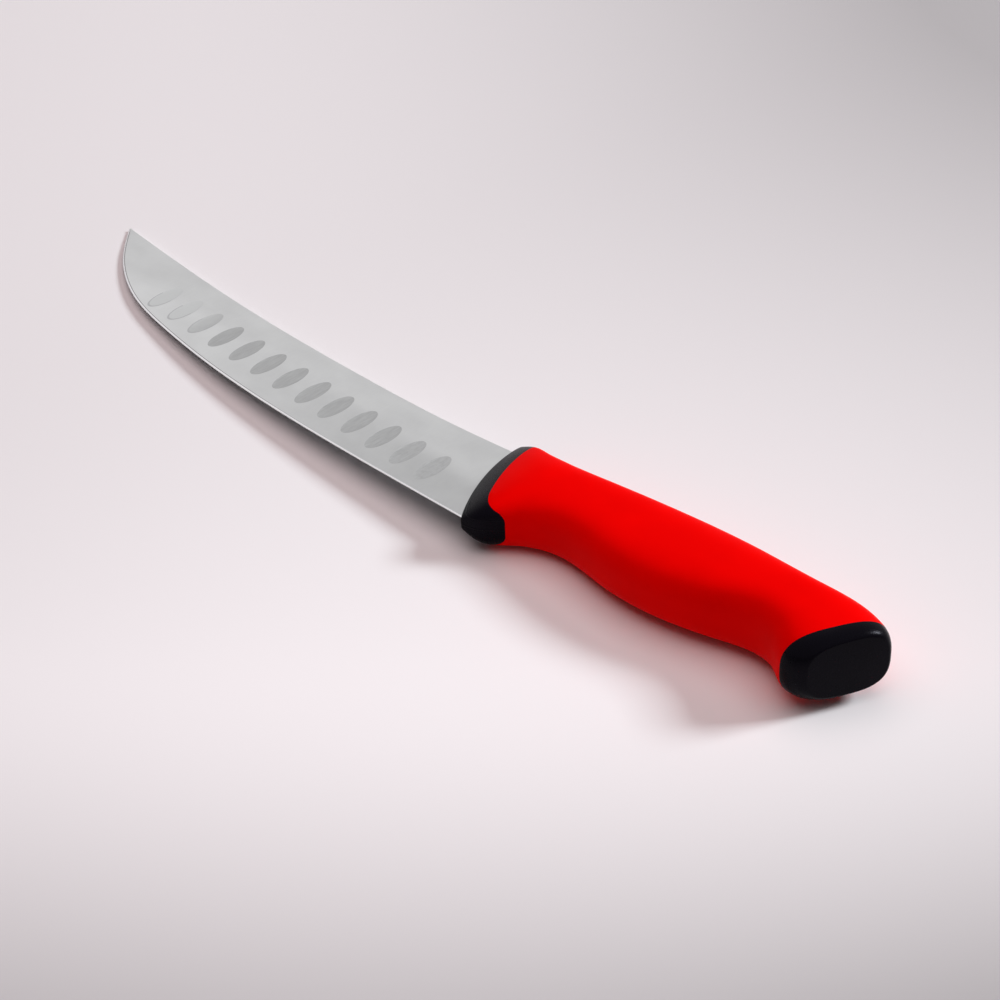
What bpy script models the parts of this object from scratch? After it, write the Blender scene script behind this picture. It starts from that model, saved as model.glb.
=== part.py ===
"""A butcher's steak knife with a hollow-oval blade and a two-colour moulded handle.

Everything is modelled in the knife's own frame, in metres. X runs along the knife from the tip
to the butt and is 0 where the cutting edge meets the handle. Y points from the edge to the spine
and is 0 on the row of ovals. Z is square to the blade and is 0 at its middle. An empty then lays
the knife down on its side, on its tip and its handle, with +Z up.
"""
import math

import bmesh
import bpy
import numpy as np
from mathutils import Matrix, Vector

MM = 0.001

# Blade
BLADE_LENGTH = 210 * MM
BLADE_STOCK = 2.5 * MM
BLADE_TIP_THICKNESS = 1.3 * MM
THICKNESS_BEHIND_EDGE = 0.7 * MM
EDGE_THICKNESS = 0.12 * MM
BEVEL_WIDTH = 1.1 * MM
TIP_HEIGHT = 1.0 * MM
TIP_Y = 21.4 * MM
HEEL_EDGE_Y = -10.2 * MM
BELLY_EDGE_Y = -13.5 * MM
HOLLOW_SPINE_Y = 16.8 * MM
HEEL_SPINE_Y = 24.2 * MM
FLAT_SHARE = 0.26
BLADE_STATIONS = 44
SLOT_STATIONS = 4

# Ovals ground into both sides
OVAL_COUNT = 13
OVAL_PITCH = 11.7 * MM
OVAL_LENGTH = 14.6 * MM
OVAL_WIDTH = 6.6 * MM
OVAL_DEPTH = 0.3 * MM
OVAL_FIRST_X = -22.3 * MM
OVAL_ROW_RISE = 2.0 * MM
OVAL_LEAN = math.radians(2.0)
OVAL_POINTS = 20

# Tang, the narrow tail of the blade inside the handle
TANG_LENGTH = 96 * MM
TANG_HEIGHT = 13 * MM
TANG_END_HEIGHT = 9 * MM
TANG_HOLE = 5.5 * MM
TANG_HOLE_SPACING = 24 * MM
TANG_FIRST_HOLE_X = 28 * MM
TANG_HOLE_COUNT = 3
SEAT_DEPTH = 3.5 * MM
SHOULDER_RUN = 0.8 * MM

# Handle
HANDLE_LENGTH = 137.2 * MM
HANDLE_HALF_WIDTH = 9.6 * MM
WAIST_HALF_WIDTH = 9.8 * MM
BUTT_HALF_WIDTH = 11.3 * MM
END_HALF_WIDTH = 11.0 * MM
FRONT_TOP_X = -10.3 * MM
FRONT_LEAN = 0.075
FRONT_RADIUS = 56 * MM
FRONT_FADE = 90 * MM
NOSE_LENGTH = 23 * MM
NOSE_LIP = 0.9 * MM
NOSE_CURVE = 2.1
NOSE_POWER = 6.0
SECTION_POWER = 3.0
BUTT_POWER = 2.9
BUTT_EGG = 0.02
BUTT_SLANT = 0.42
BUTT_SLANT_LENGTH = 62.2 * MM
BUTT_SLANT_Y = 25.3 * MM
BUTT_ROUNDING = 5.7 * MM
BUTT_INSET = 2.0 * MM
GRIP_WALL = 3.0 * MM
GAP = 0.3 * MM
RING_POINTS = 60
CORE_RINGS = 12
CAP_RINGS = 8

# Lines where the red grip meets the black collar and the black butt cap
COLLAR_WIDTH = 6.3 * MM
COLLAR_FLARE = 0.08
COLLAR_SWELL = 1.7 * MM
COLLAR_SWELL_START = 4.8 * MM
COLLAR_SWELL_LENGTH = 6.5 * MM
COLLAR_STEP = 6.1 * MM
COLLAR_STEP_START = 0.7 * MM
COLLAR_STEP_LENGTH = 1.9 * MM
BUTT_CAP_LENGTH = 8.0 * MM
BUTT_LINE_SLANT = 0.48


def spline(points):
    """Return the natural cubic through (x, y) points as a function of x."""
    xs, ys = np.array(points, dtype=float).T
    count = len(xs)
    span = np.diff(xs)
    rise = np.diff(ys) / span
    matrix = np.eye(count)
    right = np.zeros(count)
    for i in range(1, count - 1):
        matrix[i, i - 1:i + 2] = span[i - 1], 2 * (span[i - 1] + span[i]), span[i]
        right[i] = 6 * (rise[i] - rise[i - 1])
    bend = np.linalg.solve(matrix, right)

    def value(x):
        i = int(np.clip(np.searchsorted(xs, x) - 1, 0, count - 2))
        before, after = x - xs[i], xs[i + 1] - x
        curved = (bend[i] * after ** 3 + bend[i + 1] * before ** 3) / (6 * span[i])
        start = ys[i] / span[i] - bend[i] * span[i] / 6
        end = ys[i + 1] / span[i] - bend[i + 1] * span[i] / 6
        return float(curved + start * after + end * before)

    return value


def clamp(value, low=0.0, high=1.0):
    return min(max(value, low), high)


def mix(low, high, share):
    return low + (high - low) * share


def ease(share):
    """Go smoothly from 0 to 1."""
    share = clamp(share)
    return share * share * (3 - 2 * share)


def material(name, colour, roughness, metallic=0.0):
    made = bpy.data.materials.new(name)
    made.use_nodes = True
    shader = made.node_tree.nodes["Principled BSDF"]
    shader.inputs["Base Color"].default_value = (*colour, 1.0)
    shader.inputs["Roughness"].default_value = roughness
    shader.inputs["Metallic"].default_value = metallic
    made.diffuse_color = (*colour, 1.0)
    return made


def mesh_object(name, points, faces, finish=None):
    mesh = bpy.data.meshes.new(name)
    mesh.from_pydata(points, [], faces)
    sheet = bmesh.new()
    sheet.from_mesh(mesh)
    bmesh.ops.recalc_face_normals(sheet, faces=sheet.faces)
    sheet.to_mesh(mesh)
    sheet.free()
    made = bpy.data.objects.new(name, mesh)
    bpy.context.scene.collection.objects.link(made)
    if finish:
        mesh.materials.append(finish)
    return made


def mirror_cap(start, size):
    """Close a ring whose points i and size - i lie straight across from each other."""
    half = size // 2
    faces = [(start, start + 1, start + size - 1)]
    for i in range(1, half - 1):
        faces.append((start + i, start + i + 1, start + size - i - 1, start + size - i))
    faces.append((start + half - 1, start + half, start + half + 1))
    return faces


def loft_faces(ring_count, size, closed=False):
    faces = []
    for k in range(ring_count if closed else ring_count - 1):
        near, far = k * size, (k + 1) % ring_count * size
        for i in range(size):
            j = (i + 1) % size
            faces.append((near + i, near + j, far + j, far + i))
    return faces


def guide(made):
    made.hide_render = True
    made.display_type = "WIRE"
    return made


def boolean(body, tool, name):
    change = body.modifiers.new(name, "BOOLEAN")
    change.operation = "DIFFERENCE"
    change.solver = "EXACT"
    change.object = tool


def smooth(made, degrees):
    made.data.shade_smooth()
    made.data.set_sharp_from_angle(angle=math.radians(degrees))


# The handle's side view. Stations are distances behind the handle's front, at mid height.
handle_top = spline([
    (0.0, HEEL_SPINE_Y + 2.1 * MM),
    (0.045 * HANDLE_LENGTH, 27.1 * MM),
    (0.09 * HANDLE_LENGTH, 26.2 * MM),
    (0.14 * HANDLE_LENGTH, 26.8 * MM),
    (0.19 * HANDLE_LENGTH, 27.7 * MM),
    (0.27 * HANDLE_LENGTH, 29.55 * MM),
    (0.40 * HANDLE_LENGTH, 32.75 * MM),
    (0.65 * HANDLE_LENGTH, 35.6 * MM),
    (0.80 * HANDLE_LENGTH, 35.5 * MM),
    (0.92 * HANDLE_LENGTH, 35.7 * MM),
    (1.0 * HANDLE_LENGTH, 31.8 * MM),
])
handle_bottom = spline([
    (0.0, HEEL_EDGE_Y - 2.2 * MM),
    (0.07 * HANDLE_LENGTH, -10.35 * MM),
    (0.145 * HANDLE_LENGTH, -4.6 * MM),
    (0.24 * HANDLE_LENGTH, 1.2 * MM),
    (0.40 * HANDLE_LENGTH, 0.5 * MM),
    (0.55 * HANDLE_LENGTH, 1.6 * MM),
    (0.67 * HANDLE_LENGTH, 6.3 * MM),
    (0.78 * HANDLE_LENGTH, 10.75 * MM),
    (0.87 * HANDLE_LENGTH, 8.3 * MM),
    (0.94 * HANDLE_LENGTH, 4.5 * MM),
    (1.0 * HANDLE_LENGTH, 5.5 * MM),
])
handle_half_width = spline([
    (0.0, HANDLE_HALF_WIDTH),
    (0.27 * HANDLE_LENGTH, WAIST_HALF_WIDTH),
    (0.55 * HANDLE_LENGTH, mix(WAIST_HALF_WIDTH, BUTT_HALF_WIDTH, 0.35)),
    (0.80 * HANDLE_LENGTH, BUTT_HALF_WIDTH),
    (1.0 * HANDLE_LENGTH, END_HALF_WIDTH),
])


def front_x(y):
    """The curved line where the handle starts on the blade."""
    below = HEEL_SPINE_Y - y
    return FRONT_TOP_X + FRONT_LEAN * below + below * below / (2 * FRONT_RADIUS)


def centre_y(u):
    return (handle_top(u) + handle_bottom(u)) / 2


FRONT_CENTRE_X = front_x(centre_y(0.0))
BUTT_SLANT_START = HANDLE_LENGTH - BUTT_SLANT_LENGTH
BUTT_LINE_U = HANDLE_LENGTH - BUTT_CAP_LENGTH


def skin_point(u, angle, inset=0.0):
    """A point on the handle at station u, at an angle round its section, under the surface by inset."""
    rounding = 0.0
    if u > HANDLE_LENGTH - BUTT_ROUNDING:
        along = clamp((u - HANDLE_LENGTH + BUTT_ROUNDING) / BUTT_ROUNDING)
        rounding = BUTT_INSET * (1 - math.sqrt(1 - along * along))
    nose = clamp(u / NOSE_LENGTH)
    power = mix(NOSE_POWER, SECTION_POWER, ease(nose))
    butt = ease((u - BUTT_SLANT_START) / (HANDLE_LENGTH - BUTT_SLANT_START))
    power += (BUTT_POWER - SECTION_POWER) * butt
    lip = BLADE_STOCK / 2 + GAP + NOSE_LIP
    half_width = mix(lip, handle_half_width(u), 1 - (1 - nose) ** NOSE_CURVE) - inset - rounding
    middle = centre_y(u)
    half_height = (handle_top(u) - handle_bottom(u)) / 2 - inset - rounding
    across, up = math.sin(angle), math.cos(angle)
    y = middle + half_height * math.copysign(abs(up) ** (2 / power), up)
    egg = 1 + BUTT_EGG * butt * (y - middle) / half_height
    z = half_width * egg * math.copysign(abs(across) ** (2 / power), across)
    front = max(0.0, 1 - u / FRONT_FADE) ** 2
    slant = BUTT_SLANT * clamp((u - BUTT_SLANT_START) / (HANDLE_LENGTH - BUTT_SLANT_START)) ** 2
    x = FRONT_CENTRE_X + u + front * (front_x(y) - FRONT_CENTRE_X) + slant * (y - BUTT_SLANT_Y)
    return x, y, z


ANGLES = [2 * math.pi * i / RING_POINTS for i in range(RING_POINTS)]


def collar_line(y, z, gap=0.0):
    """Where the red grip starts: along the front, with a step back round the finger guard's foot."""
    above = y + abs(z)
    swell = COLLAR_SWELL * ease((COLLAR_SWELL_START + gap - above) / COLLAR_SWELL_LENGTH)
    step = COLLAR_STEP * ease((COLLAR_STEP_START + 1.5 * gap - above) / COLLAR_STEP_LENGTH)
    return front_x(y) + COLLAR_WIDTH + COLLAR_FLARE * (HEEL_SPINE_Y - y) + swell + step + gap


def butt_line(y, _z, gap=0.0):
    """Where the red grip ends: straight across, leaning back towards the spine side."""
    return FRONT_CENTRE_X + BUTT_LINE_U + BUTT_LINE_SLANT * (y - centre_y(BUTT_LINE_U)) - gap


def halve(before):
    """The station up to which a test of stations holds."""
    low, high = 0.0, HANDLE_LENGTH
    for _ in range(40):
        u = (low + high) / 2
        if before(u):
            low = u
        else:
            high = u
    return (low + high) / 2


def line_stations(line, gap=0.0, inset=0.0):
    """The station at each angle of a line drawn on the skin. Under the skin the gap is twice as wide."""
    if inset:
        gap = 2 * gap
    stations = []
    for angle in ANGLES:
        def before(u):
            x, y, z = skin_point(u, angle)
            return x < line(y, z, gap)

        station = halve(before)
        if inset:
            end_x = skin_point(station, angle)[0]
            station = halve(lambda u: skin_point(u, angle, inset)[0] < end_x)
        stations.append(station)
    return stations


def skin_ring(stations, inset=0.0):
    return [skin_point(u, angle, inset) for u, angle in zip(stations, ANGLES)]


def skin_rings(first, last, count, inset=0.0, bunch=1.0):
    """Rings spaced from one list of stations to another, closer at the start if bunch is over 1."""
    rings = []
    for k in range(count + 1):
        share = (k / count) ** bunch
        rings.append(skin_ring([mix(a, b, share) for a, b in zip(first, last)], inset))
    return rings


# The blade's side view. Shares are distances from the heel, out of the blade's length.
spine_y = spline([
    (0.00, HEEL_SPINE_Y),
    (0.17, HOLLOW_SPINE_Y + 3.1 * MM),
    (0.36, HOLLOW_SPINE_Y + 0.8 * MM),
    (0.57, HOLLOW_SPINE_Y),
    (0.78, HOLLOW_SPINE_Y + 1.3 * MM),
    (1.00, TIP_Y),
])
EDGE_SWEEP = TIP_Y - TIP_HEIGHT - BELLY_EDGE_Y
edge_y = spline([
    (0.00, HEEL_EDGE_Y),
    (0.25, mix(BELLY_EDGE_Y, HEEL_EDGE_Y, 0.22)),
    (0.42, BELLY_EDGE_Y),
    (0.57, BELLY_EDGE_Y + 0.03 * EDGE_SWEEP),
    (0.71, BELLY_EDGE_Y + 0.12 * EDGE_SWEEP),
    (0.81, BELLY_EDGE_Y + 0.245 * EDGE_SWEEP),
    (0.875, BELLY_EDGE_Y + 0.41 * EDGE_SWEEP),
    (0.941, BELLY_EDGE_Y + 0.67 * EDGE_SWEEP),
    (1.00, BELLY_EDGE_Y + EDGE_SWEEP),
])


def half_stock(x):
    """Half the thickness of the upper flat, which tapers evenly to the tip."""
    return mix(BLADE_STOCK, BLADE_TIP_THICKNESS, clamp(-x / BLADE_LENGTH)) / 2


def ring_of(x, levels, grow):
    """A ring round the blade from (y, half thickness) levels, top to bottom, grown all round."""
    top, bottom = levels[0][0], levels[-1][0]
    side = []
    for y, half in levels:
        shift = grow if y == top else -grow if y == bottom else 0.0
        side.append((x, y + shift, half + grow))
    return side + [(px, py, -pz) for px, py, pz in reversed(side)]


def blade_ring(x, grow=0.0, top=None):
    """A ring at x with the upper flat, the grind down to the bevel, and the edge."""
    share = -x / BLADE_LENGTH
    top_y = spine_y(share) if top is None else top
    bottom_y = edge_y(share)
    height = top_y - bottom_y
    slope = (edge_y(share + 0.005) - edge_y(share - 0.005)) / (0.01 * BLADE_LENGTH)
    bevel = min(BEVEL_WIDTH * math.hypot(1, slope), 0.4 * height)
    flat = half_stock(x)
    behind = min(THICKNESS_BEHIND_EDGE / 2, 0.8 * flat)
    edge = min(EDGE_THICKNESS / 2, 0.5 * behind)
    flat_end = mix(top_y, bottom_y, FLAT_SHARE)
    levels = [(top_y, flat), (flat_end, flat), (bottom_y + bevel, behind), (bottom_y, edge)]
    return ring_of(x, levels, grow)


def tang_ring(x, top, bottom, grow=0.0):
    """A ring at x of the full stock."""
    half = BLADE_STOCK / 2
    levels = [(mix(top, bottom, share), half) for share in (0.0, 1 / 3, 2 / 3, 1.0)]
    return ring_of(x, levels, grow)


def tang_half_height(x):
    return mix(TANG_HEIGHT, TANG_END_HEIGHT, clamp(x / TANG_LENGTH)) / 2


def tang_y(x):
    return centre_y(x - FRONT_CENTRE_X)


def shoulder_rings(grow):
    """Rings where the blade's back edge follows the handle's front, a little way inside it."""
    rings = []
    steps = 8
    low = tang_y(0.0) + tang_half_height(0.0)
    top = HEEL_SPINE_Y - SEAT_DEPTH / 8
    for k in range(steps + 1):
        y = mix(top, low, k / steps)
        rings.append(blade_ring(front_x(y) + SEAT_DEPTH + grow, grow, y))
    return rings


def tang_rings(grow):
    shoulder_x = front_x(HEEL_EDGE_Y) + SEAT_DEPTH + grow
    rings = [blade_ring(shoulder_x, grow, tang_y(shoulder_x) + tang_half_height(shoulder_x))]
    steps = 8
    for k in range(steps + 1):
        x = mix(shoulder_x + SHOULDER_RUN, TANG_LENGTH, k / steps)
        half = tang_half_height(x)
        rings.append(tang_ring(x, tang_y(x) + half, tang_y(x) - half, grow))
    if grow:
        half = tang_half_height(TANG_LENGTH)
        middle = tang_y(TANG_LENGTH)
        rings.append(tang_ring(TANG_LENGTH + grow, middle + half, middle - half, grow))
    return rings


def blade_shape(name, first_x, stations, grow=0.0, finish=None):
    """The blade and its tang from first_x back, as one closed loft, closest at the tip."""
    last_x = FRONT_TOP_X + SEAT_DEPTH / 2
    rings = []
    for k in range(stations + 1):
        share = math.cos(k / stations * math.pi / 2)
        rings.append(blade_ring(mix(last_x, first_x, share), grow))
    rings += shoulder_rings(grow) + tang_rings(grow)
    size = len(rings[0])
    faces = loft_faces(len(rings), size)
    faces += [tuple(range(size)), tuple(range((len(rings) - 1) * size, len(rings) * size))]
    return mesh_object(name, [p for ring in rings for p in ring], faces, finish)


def oval_cutter():
    """One mesh of shallow bowls, a row on each side of the blade."""
    radii = (0.4, 0.75, 1.25)
    points, faces = [], []
    for side in (1, -1):
        for k in range(OVAL_COUNT):
            x = OVAL_FIRST_X - k * OVAL_PITCH
            y = OVAL_ROW_RISE * (k / (OVAL_COUNT - 1)) ** 2
            ring = blade_ring(x)
            (_, y_flat, flat), (_, y_bevel, behind) = ring[1], ring[2]
            slope = (flat - behind) / (y_flat - y_bevel)
            middle = behind + slope * (y - y_bevel)
            start = len(points)
            bowl = [(0.0, 0.0, -OVAL_DEPTH)]
            for radius in radii:
                for i in range(OVAL_POINTS):
                    turn = 2 * math.pi * i / OVAL_POINTS
                    across = radius * OVAL_WIDTH / 2 * math.cos(turn)
                    along = radius * OVAL_LENGTH / 2 * math.sin(turn)
                    bowl.append((across, along, OVAL_DEPTH * (radius * radius - 1)))
            for px, py, pz in bowl:
                ox = px * math.cos(OVAL_LEAN) - py * math.sin(OVAL_LEAN)
                oy = px * math.sin(OVAL_LEAN) + py * math.cos(OVAL_LEAN)
                points.append((x + ox, y + oy, side * (middle + slope * oy + pz)))
            first = start + 1
            for i in range(OVAL_POINTS):
                faces.append((start, first + i, first + (i + 1) % OVAL_POINTS))
            for face in loft_faces(len(radii), OVAL_POINTS):
                faces.append(tuple(first + i for i in face))
            lid = first + (len(radii) - 1) * OVAL_POINTS
            faces.append(tuple(range(lid, lid + OVAL_POINTS)))
    return guide(mesh_object("oval_cutter", points, faces))


def cross_pins(name, diameter, length):
    """Cylinders across the knife, one at each tang hole."""
    points, faces = [], []
    count = 24
    radius = diameter / 2
    for k in range(TANG_HOLE_COUNT):
        x = TANG_FIRST_HOLE_X + k * TANG_HOLE_SPACING
        y = tang_y(x)
        start = len(points)
        for z in (-length / 2, length / 2):
            for i in range(count):
                turn = 2 * math.pi * i / count
                points.append((x + radius * math.cos(turn), y + radius * math.sin(turn), z))
        faces += [tuple(start + i for i in face) for face in loft_faces(2, count)]
        faces += [tuple(range(start, start + count)), tuple(range(start + count, start + 2 * count))]
    return guide(mesh_object(name, points, faces))


def make_blade(steel):
    blade = blade_shape("blade", -BLADE_LENGTH, BLADE_STATIONS, 0.0, steel)
    boolean(blade, oval_cutter(), "ovals")
    boolean(blade, cross_pins("tang_hole_cutter", TANG_HOLE, 4 * BLADE_STOCK), "tang_holes")
    smooth(blade, 12)
    return blade


def make_core(plastic):
    """The black moulding: collar and finger guard, the slim core round the tang, and the butt cap."""
    start, end = [0.0] * RING_POINTS, [HANDLE_LENGTH] * RING_POINTS
    inset = GRIP_WALL + GAP
    collar_end, cap_start = line_stations(collar_line), line_stations(butt_line)
    core_start, core_end = line_stations(collar_line, 0.0, inset), line_stations(butt_line, 0.0, inset)
    rings = skin_rings(start, collar_end, 8)
    rings += skin_rings(core_start, core_end, CORE_RINGS, inset)
    for k in range(CAP_RINGS + 1):
        share = math.sin(k / CAP_RINGS * math.pi / 2)
        rings.append(skin_ring([mix(a, b, share) for a, b in zip(cap_start, end)]))
    faces = loft_faces(len(rings), RING_POINTS)
    faces += mirror_cap(0, RING_POINTS) + mirror_cap((len(rings) - 1) * RING_POINTS, RING_POINTS)
    core = mesh_object("handle_core", [p for ring in rings for p in ring], faces, plastic)
    slot = guide(blade_shape("tang_slot_cutter", FRONT_TOP_X - TANG_HEIGHT, SLOT_STATIONS, GAP))
    boolean(slot, cross_pins("tang_plugs", TANG_HOLE - 2 * GAP, 8 * BLADE_STOCK), "plugs")
    boolean(core, slot, "tang_slot")
    smooth(core, 35)
    return core


def make_grip(rubber):
    """The red soft sleeve between the collar and the butt cap."""
    outer_start, outer_end = line_stations(collar_line, GAP), line_stations(butt_line, GAP)
    inner_start = line_stations(collar_line, GAP, GRIP_WALL)
    inner_end = line_stations(butt_line, GAP, GRIP_WALL)
    rings = skin_rings(outer_start, outer_end, 30)
    rings += list(reversed(skin_rings(inner_start, inner_end, CORE_RINGS, GRIP_WALL)))
    faces = loft_faces(len(rings), RING_POINTS, closed=True)
    grip = mesh_object("soft_grip", [p for ring in rings for p in ring], faces, rubber)
    smooth(grip, 35)
    return grip


def lay_down(pieces):
    """Parent the pieces to an empty that lays the knife on its tip and its handle."""
    bpy.context.view_layer.update()
    graph = bpy.context.evaluated_depsgraph_get()
    points = []
    for piece in pieces:
        mesh = piece.evaluated_get(graph).data
        points += [vertex.co.copy() for vertex in mesh.vertices]
    blade_side = [p for p in points if p.x < FRONT_TOP_X]
    handle_side = [p for p in points if p.x >= FRONT_TOP_X]

    def lowest(side, angle):
        return min(p.x * math.sin(angle) + p.z * math.cos(angle) for p in side)

    low_lean, high_lean = 0.0, math.radians(20)
    for _ in range(30):
        lean = (low_lean + high_lean) / 2
        if lowest(blade_side, lean) > lowest(handle_side, lean):
            low_lean = lean
        else:
            high_lean = lean
    turn = Matrix.Rotation(-lean, 3, "Y")
    turned = [turn @ p for p in points]
    low = Vector(min(p[i] for p in turned) for i in range(3))
    high = Vector(max(p[i] for p in turned) for i in range(3))
    rest = bpy.data.objects.new("lying_on_its_side", None)
    bpy.context.scene.collection.objects.link(rest)
    rest.location = (-(low.x + high.x) / 2, -(low.y + high.y) / 2, -low.z)
    rest.rotation_euler = (0.0, -lean, 0.0)
    for made in list(bpy.context.scene.objects):
        if made is not rest:
            made.parent = rest


def main():
    for old in list(bpy.data.objects):
        bpy.data.objects.remove(old)
    steel = material("satin_steel", (0.62, 0.63, 0.64), 0.32, 1.0)
    plastic = material("black_plastic", (0.012, 0.011, 0.013), 0.42)
    rubber = material("red_soft_plastic", (0.85, 0.004, 0.004), 0.5)
    lay_down([make_blade(steel), make_core(plastic), make_grip(rubber)])


main()
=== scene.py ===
"""The looks of the butcher's steak knife: satin steel, black plastic and red soft plastic.

The three pieces are built finer than the solids, from the same main sizes, in the knife's own frame:
X from the tip to the butt, Y from the edge to the spine, Z square to the blade. They are then laid down.
"""

import math
from bisect import bisect_left

import bmesh
import bpy
import numpy as np
from mathutils import Matrix, Vector

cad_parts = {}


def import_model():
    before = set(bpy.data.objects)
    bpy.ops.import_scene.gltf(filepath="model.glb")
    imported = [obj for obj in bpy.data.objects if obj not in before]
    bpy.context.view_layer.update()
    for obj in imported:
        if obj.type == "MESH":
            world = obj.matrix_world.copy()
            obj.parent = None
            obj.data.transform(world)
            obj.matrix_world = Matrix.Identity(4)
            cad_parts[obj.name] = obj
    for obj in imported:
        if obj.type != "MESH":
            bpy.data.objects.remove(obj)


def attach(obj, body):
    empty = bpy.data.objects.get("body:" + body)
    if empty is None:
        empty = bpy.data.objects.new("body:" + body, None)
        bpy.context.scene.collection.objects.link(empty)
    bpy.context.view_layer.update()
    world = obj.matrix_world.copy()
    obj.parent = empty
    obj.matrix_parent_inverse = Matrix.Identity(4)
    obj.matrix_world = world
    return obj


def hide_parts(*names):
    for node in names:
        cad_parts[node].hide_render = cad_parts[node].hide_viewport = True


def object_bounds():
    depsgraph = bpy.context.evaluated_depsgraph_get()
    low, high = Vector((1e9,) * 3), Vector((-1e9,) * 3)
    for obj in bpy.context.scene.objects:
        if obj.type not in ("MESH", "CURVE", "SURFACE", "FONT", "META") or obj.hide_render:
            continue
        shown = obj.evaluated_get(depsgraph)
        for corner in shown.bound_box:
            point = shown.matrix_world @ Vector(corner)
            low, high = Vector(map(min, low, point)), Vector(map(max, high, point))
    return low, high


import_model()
cad_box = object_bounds()

MM = 0.001

# How the knife lies on its tip and its handle: a turn in radians, then a move in metres
LEAN = 0.04019101
REST_PLACE = (0.03854563, -0.01134668, 0.00908732)

# Blade
BLADE_LENGTH = 210 * MM
BLADE_STOCK = 2.5 * MM
BLADE_TIP_THICKNESS = 1.3 * MM
THICKNESS_BEHIND_EDGE = 0.7 * MM
EDGE_THICKNESS = 0.12 * MM
BEVEL_WIDTH = 0.5 * MM
HEEL_BEVEL_WIDTH = 0.32 * MM
LINE_WIDTH = 0.25 * MM
SPINE_CHAMFER = 0.3 * MM
TIP_HEIGHT = 1.0 * MM
TIP_Y = 21.4 * MM
HEEL_EDGE_Y = -10.2 * MM
BELLY_EDGE_Y = -13.5 * MM
HOLLOW_SPINE_Y = 16.8 * MM
HEEL_SPINE_Y = 24.2 * MM
FLAT_SHARE = 0.26
BLADE_STATIONS = 160
SHARP_STEEL = 12  # degrees, where shading breaks

# Ovals ground into both sides
OVAL_COUNT = 13
OVAL_PITCH = 11.7 * MM
OVAL_LENGTH = 14.6 * MM
OVAL_WIDTH = 6.6 * MM
OVAL_FLAT_DEPTH = 0.14 * MM
OVAL_POWER = 7
OVAL_FIRST_X = -22.3 * MM
OVAL_ROW_RISE = 2.0 * MM
OVAL_LEAN = math.radians(2.0)
OVAL_POINTS = 64
BOWL_RADII = (0.3, 0.6, 0.74, 0.82, 0.88, 0.93, 0.97, 1.0, 1.06)
FAINT_OVALS = 3
# Painted shade: the bowl band and point where the faint ovals' darker edge-side rim starts
SHADE_RIM_FIRST_BAND = 4
SHADE_RIM_FIRST_POINT = OVAL_POINTS // 2 - 2

# Tang
TANG_LENGTH = 96 * MM
TANG_HEIGHT = 13 * MM
TANG_END_HEIGHT = 9 * MM
TANG_HOLE = 5.5 * MM
TANG_HOLE_SPACING = 24 * MM
TANG_FIRST_HOLE_X = 28 * MM
TANG_HOLE_COUNT = 3
SEAT_DEPTH = 3.5 * MM
SHOULDER_RUN = 0.8 * MM
SHOULDER_STEPS = 12
TANG_STEPS = 12
SLOT_STATIONS = 6
SLOT_GAP = 0.05 * MM

# Handle
HANDLE_LENGTH = 137.2 * MM
HANDLE_HALF_WIDTH = 9.6 * MM
WAIST_HALF_WIDTH = 9.8 * MM
BUTT_HALF_WIDTH = 11.3 * MM
END_HALF_WIDTH = 11.0 * MM
FRONT_TOP_X = -10.3 * MM
FRONT_LEAN = 0.075
FRONT_RADIUS = 56 * MM
FRONT_FADE = 90 * MM
FRONT_ROUNDING = 0.6 * MM
NOSE_LENGTH = 23 * MM
NOSE_LIP = 0.9 * MM
NOSE_CURVE = 2.1
NOSE_POWER = 6.0
SECTION_POWER = 3.0
BUTT_POWER = 2.9
BUTT_EGG = 0.02
BUTT_SLANT = 0.42
BUTT_SLANT_LENGTH = 62.2 * MM
BUTT_SLANT_Y = 25.3 * MM
BUTT_ROUNDING = 5.7 * MM
BUTT_INSET = 2.0 * MM
GRIP_WALL = 3.0 * MM
GAP = 0.3 * MM
JOINT = 0.03 * MM
RING_POINTS = 240
ROUNDING_STEPS = 6
COLLAR_STEPS = 28
CORE_STEPS = 16
CAP_STEPS = 36
GRIP_STEPS = 120
SHARP_PLASTIC = 35  # degrees, where shading breaks

# Lines where the red grip meets the black collar and the black butt cap
COLLAR_WIDTH = 6.3 * MM
COLLAR_FLARE = 0.08
COLLAR_SWELL = 1.7 * MM
COLLAR_SWELL_START = 4.8 * MM
COLLAR_SWELL_LENGTH = 6.5 * MM
COLLAR_STEP = 6.1 * MM
COLLAR_STEP_START = 2.2 * MM
COLLAR_STEP_LENGTH = 5.0 * MM
BUTT_CAP_LENGTH = 8.0 * MM
BUTT_LINE_SLANT = 0.48


def spline(points):
    """Return the natural cubic through (x, y) points as a function of x."""
    xs, ys = np.array(points, dtype=float).T
    count = len(xs)
    span = np.diff(xs)
    rise = np.diff(ys) / span
    matrix = np.eye(count)
    right = np.zeros(count)
    for i in range(1, count - 1):
        matrix[i, i - 1:i + 2] = span[i - 1], 2 * (span[i - 1] + span[i]), span[i]
        right[i] = 6 * (rise[i] - rise[i - 1])
    bend = np.linalg.solve(matrix, right).tolist()
    xs, ys, span = xs.tolist(), ys.tolist(), span.tolist()

    def value(x):
        i = min(max(bisect_left(xs, x) - 1, 0), count - 2)
        before, after = x - xs[i], xs[i + 1] - x
        curved = (bend[i] * after ** 3 + bend[i + 1] * before ** 3) / (6 * span[i])
        start = ys[i] / span[i] - bend[i] * span[i] / 6
        end = ys[i + 1] / span[i] - bend[i + 1] * span[i] / 6
        return curved + start * after + end * before

    return value


def clamp(value, low=0.0, high=1.0):
    return min(max(value, low), high)


def mix(low, high, share):
    return low + (high - low) * share


def ease(share):
    share = clamp(share)
    return share * share * (3 - 2 * share)


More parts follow.
